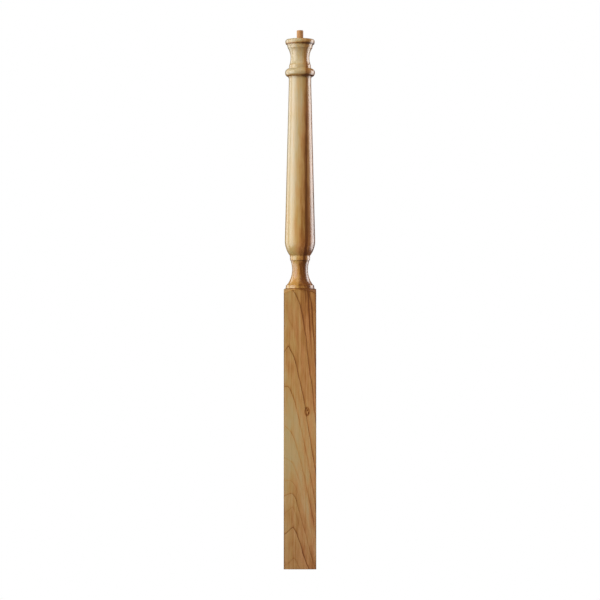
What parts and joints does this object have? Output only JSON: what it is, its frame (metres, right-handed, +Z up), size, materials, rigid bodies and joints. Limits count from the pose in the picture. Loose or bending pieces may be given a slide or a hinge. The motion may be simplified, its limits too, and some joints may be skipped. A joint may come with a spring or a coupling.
{
  "type": "newel post",
  "caption": "Turned hardwood newel post: square lower block, tapered round shaft with bulb, bead and vase, round cap and a dowel pin that takes a handrail fitting.",
  "frame": {"origin": "centre of the square block's underside, where the post stands", "axes": "+Z up along the post's axis, +X to the right and -Y toward the viewer of the picture, square to the block's faces"},
  "size_m": [0.0762, 0.0762, 1.2665],
  "materials": {
    "satin_hardwood": "clear satin coat over cherry-brown heartwood and pale sapwood",
    "pin_hardwood": "bare, matt, redder brown than the post"
  },
  "bodies": {
    "root": {"newel_post": "satin_hardwood", "dowel_pin": "pin_hardwood"}
  },
  "joints": []
}
